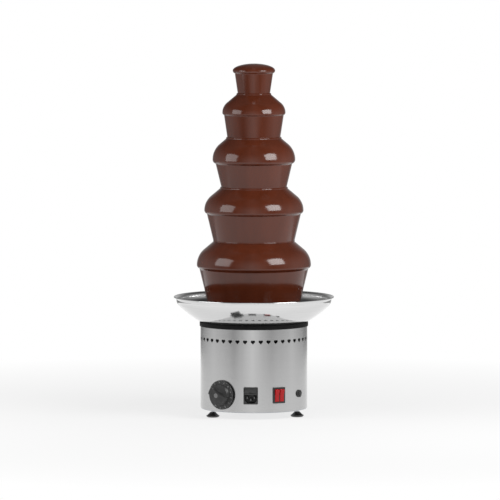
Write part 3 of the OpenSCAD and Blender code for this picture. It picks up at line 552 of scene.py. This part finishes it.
def soften(name, body, width, slot):
    """Copy of a node with its sharp edges rounded, which stands for the node."""
    grid = bmesh.new()
    grid.from_mesh(nodes[name].data)
    bmesh.ops.transform(grid, matrix=nodes[name].matrix_world, verts=grid.verts)
    bmesh.ops.remove_doubles(grid, verts=grid.verts, dist=0.005 * MM)
    bmesh.ops.dissolve_limit(grid, angle_limit=FLAT_ANGLE, verts=grid.verts, edges=grid.edges)
    sharp = [e for e in grid.edges if len(e.link_faces) == 2 and e.calc_face_angle() > EDGE_ANGLE]
    bmesh.ops.bevel(grid, geom=sharp, offset=width * MM, segments=2, profile=0.5, affect="EDGES",
                    clamp_overlap=True)
    mesh = bpy.data.meshes.new("rounded_" + name)
    grid.to_mesh(mesh)
    grid.free()
    mesh.shade_smooth()
    mesh.set_sharp_from_angle(angle=SMOOTH_ANGLE)
    piece = add_piece("rounded_" + name, mesh, body, MATERIALS[slot])
    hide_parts(name)


KNOB_ANGLE = -33.0
CONTROL_Z = 47.0
SKIRT_Z = 4.6
DRUM_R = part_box("housing_drum")[1].x
NUMBER_R = 24.6
NUMBER_SIZE = 4.6
NUMBER_FIRST = 152.0
NUMBER_STEP = 27.0
NUMBER_COUNT = 11
TICK_R = 27.6
TICK = (0.5, 1.2)
PRINT_T = 0.06


def on_drum(angle):
    """Placing on the drum's wall: x to the right, y up, z outwards, in metres."""
    out = direction(angle, 0)
    side = direction(angle + 90, 0)
    origin = out * DRUM_R + Vector((0, 0, CONTROL_Z * MM))
    frame_of = Matrix((side, (0, 0, 1), out)).transposed().to_4x4()
    return Matrix.Translation(origin) @ frame_of


def number_mesh(text):
    curve = bpy.data.curves.new("number", "FONT")
    curve.body = text
    curve.size = NUMBER_SIZE * MM
    curve.align_x = "CENTER"
    curve.align_y = "CENTER"
    curve.extrude = PRINT_T * MM
    shape = bpy.data.objects.new("number", curve)
    mesh = bpy.data.meshes.new_from_object(shape)
    bpy.data.objects.remove(shape)
    bpy.data.curves.remove(curve)
    return mesh


def add_numbers():
    """Numbers round the knob's skirt, each with its head outwards, and a tick between each two."""
    grid = bmesh.new()
    for k in range(NUMBER_COUNT):
        turn = math.radians(NUMBER_FIRST - k * NUMBER_STEP)
        place = on_drum(KNOB_ANGLE) @ Matrix.Rotation(turn - math.pi / 2, 4, "Z")
        old = len(grid.verts)
        grid.from_mesh(number_mesh(str(k)))
        grid.verts.ensure_lookup_table()
        lift = Matrix.Translation((0, NUMBER_R * MM, SKIRT_Z * MM))
        bmesh.ops.transform(grid, matrix=place @ lift, verts=grid.verts[old:])
        half = Matrix.Rotation(math.radians(-NUMBER_STEP / 2), 4, "Z")
        lift = Matrix.Translation((0, TICK_R * MM, SKIRT_Z * MM))
        size = Matrix.Diagonal((TICK[0] * MM, TICK[1] * MM, 2 * PRINT_T * MM, 1))
        bmesh.ops.create_cube(grid, size=1, matrix=place @ half @ lift @ size)
    mesh = bpy.data.meshes.new("knob_numbers")
    grid.to_mesh(mesh)
    grid.free()
    add_piece("knob_numbers", mesh, "knob", PRINT)


# Stage: floor, world, a tent that glossy pieces mirror, and lamps; all of it lights every piece alike

TENT_R = 1.3
TENT_TOP = 88
TENT_TURNS = 36
TENT_ROWS = 8
# Light of the tent by azimuth, and its share from the floor up to the top
TENT_LIGHT = [
    (-180, 0.60), (-145, 0.20), (-90, 0.70), (-40, 0.15), (0, 0.95),
    (40, 0.15), (90, 0.70), (145, 0.20), (180, 0.60),
]
TENT_UP = [(0.0, 1.0), (0.3, 0.8), (0.6, 0.2), (1.0, 0.2)]

Lamp = namedtuple("Lamp", "name azimuth elevation size watts")
LAMPS = [
    Lamp("key", 52, 28, 0.54, 7.4),
    Lamp("fill", -62, 20, 0.62, 3.7),
    Lamp("over", 180, 70, 0.62, 1.2),
]
LAMP_DISTANCE = 1.0
LAMP_AIM = Vector((0, 0, 0.35))


def steps_between(start, end, steps):
    return [start + (end - start) * i / steps for i in range(steps + 1)]


def set_stops(ramp, stops):
    while len(ramp.color_ramp.elements) < len(stops):
        ramp.color_ramp.elements.new(1.0)
    for element, (position, level) in zip(ramp.color_ramp.elements, stops):
        element.position = position
        element.color = (*grey(level), 1)


def tent_light():
    """Soft white light that changes round the tent and up it."""
    material = bpy.data.materials.new("tent")
    material.use_nodes = True
    tree = material.node_tree
    tree.nodes.clear()
    place = tree.nodes.new("ShaderNodeUVMap")
    split = tree.nodes.new("ShaderNodeSeparateXYZ")
    levels = tree.nodes.new("ShaderNodeValToRGB")
    shares = tree.nodes.new("ShaderNodeValToRGB")
    emission = tree.nodes.new("ShaderNodeEmission")
    output = tree.nodes.new("ShaderNodeOutputMaterial")
    set_stops(levels, [((turn + 180) / 360, level) for turn, level in TENT_LIGHT])
    set_stops(shares, TENT_UP)
    tree.links.new(place.outputs["UV"], split.inputs[0])
    tree.links.new(split.outputs["X"], levels.inputs["Fac"])
    tree.links.new(split.outputs["Y"], shares.inputs["Fac"])
    tree.links.new(levels.outputs["Color"], emission.inputs["Color"])
    tree.links.new(shares.outputs["Color"], emission.inputs["Strength"])
    tree.links.new(emission.outputs[0], output.inputs["Surface"])
    return material


def add_tent():
    """A wide backdrop all round, which only shows in what is glossy."""
    grid = bmesh.new()
    layer = grid.loops.layers.uv.new("tent")
    turns = steps_between(-180, 180, TENT_TURNS)
    rows = []
    for height in steps_between(0, TENT_TOP, TENT_ROWS):
        rows.append([grid.verts.new(direction(turn, height) * TENT_R) for turn in turns])
    for k in range(TENT_ROWS):
        for i in range(TENT_TURNS):
            face = grid.faces.new((rows[k][i], rows[k][i + 1], rows[k + 1][i + 1], rows[k + 1][i]))
            for loop, u, v in zip(face.loops, (i, i + 1, i + 1, i), (k, k, k + 1, k + 1)):
                loop[layer].uv = (u / TENT_TURNS, v / TENT_ROWS)
    mesh = bpy.data.meshes.new("tent")
    grid.to_mesh(mesh)
    grid.free()
    mesh.materials.append(tent_light())
    tent = bpy.data.objects.new("tent", mesh)
    scene.collection.objects.link(tent)
    tent.visible_camera = False
    tent.visible_diffuse = False
    tent.visible_transmission = False
    tent.visible_shadow = False


def add_lamp(lamp):
    data = bpy.data.lights.new(lamp.name, "AREA")
    data.size = lamp.size
    data.energy = lamp.watts
    light = bpy.data.objects.new(lamp.name, data)
    outwards = direction(lamp.azimuth, lamp.elevation)
    light.location = LAMP_AIM + outwards * LAMP_DISTANCE
    light.rotation_euler = outwards.to_track_quat("Z", "Y").to_euler()
    light.visible_camera = False
    scene.collection.objects.link(light)


def shows_background(tree):
    """One for rays from the camera and for rays that mirrors and glass send on."""
    path = tree.nodes.new("ShaderNodeLightPath")
    either = path.outputs["Is Camera Ray"]
    for ray in ("Is Glossy Ray", "Is Transmission Ray"):
        larger = tree.nodes.new("ShaderNodeMath")
        larger.operation = "MAXIMUM"
        tree.links.new(either, larger.inputs[0])
        tree.links.new(path.outputs[ray], larger.inputs[1])
        either = larger.outputs[0]
    return either


AMBIENT = 0.30


def add_world():
    world = bpy.data.worlds.new("studio")
    world.use_nodes = True
    tree = world.node_tree
    background = tree.nodes["Background"]
    background.inputs["Color"].default_value = (1, 1, 1, 1)
    level = tree.nodes.new("ShaderNodeMapRange")
    level.inputs["To Min"].default_value = AMBIENT
    level.inputs["To Max"].default_value = 1.0
    tree.links.new(shows_background(tree), level.inputs["Value"])
    tree.links.new(level.outputs["Result"], background.inputs["Strength"])
    scene.world = world


FLOOR_SPAN = 200
FLOOR_Z = -0.2 * MM
FLOOR_PAINT = 0.86
FLOOR_GLOW = 0.72
GLOW_NEAR = 0.30
GLOW_FAR = 1.20


def add_floor():
    """White floor: near the object part of its white is light that the object can shade."""
    material = bpy.data.materials.new("white_floor")
    material.use_nodes = True
    tree = material.node_tree
    tree.nodes.clear()
    paint = tree.nodes.new("ShaderNodeBsdfDiffuse")
    paint.inputs["Color"].default_value = (*grey(FLOOR_PAINT), 1)
    own = tree.nodes.new("ShaderNodeEmission")
    both = tree.nodes.new("ShaderNodeMixShader")
    place = tree.nodes.new("ShaderNodeTexCoord")
    away = tree.nodes.new("ShaderNodeVectorMath")
    away.operation = "LENGTH"
    share = tree.nodes.new("ShaderNodeMapRange")
    for socket, value in (("From Min", GLOW_NEAR), ("From Max", GLOW_FAR),
                          ("To Min", FLOOR_GLOW), ("To Max", 1.0)):
        share.inputs[socket].default_value = value
    seen = tree.nodes.new("ShaderNodeMath")
    seen.operation = "MULTIPLY"
    output = tree.nodes.new("ShaderNodeOutputMaterial")
    tree.links.new(place.outputs["Object"], away.inputs[0])
    tree.links.new(away.outputs["Value"], share.inputs["Value"])
    tree.links.new(share.outputs["Result"], seen.inputs[0])
    tree.links.new(shows_background(tree), seen.inputs[1])
    tree.links.new(seen.outputs[0], both.inputs["Fac"])
    tree.links.new(paint.outputs[0], both.inputs[1])
    tree.links.new(own.outputs[0], both.inputs[2])
    tree.links.new(both.outputs[0], output.inputs["Surface"])
    bpy.ops.mesh.primitive_plane_add(size=FLOOR_SPAN, location=(0, 0, FLOOR_Z))
    floor = bpy.context.object
    floor.name = "floor"
    floor.data.materials.append(material)


def add_stage():
    add_world()
    add_floor()
    add_tent()
    for lamp in LAMPS:
        add_lamp(lamp)


scene.view_settings.view_transform = "Standard"
add_camera()
dress_nodes()
add_chocolate()
add_pool()
for row in SOFTENED:
    soften(*row)
add_numbers()
add_stage()
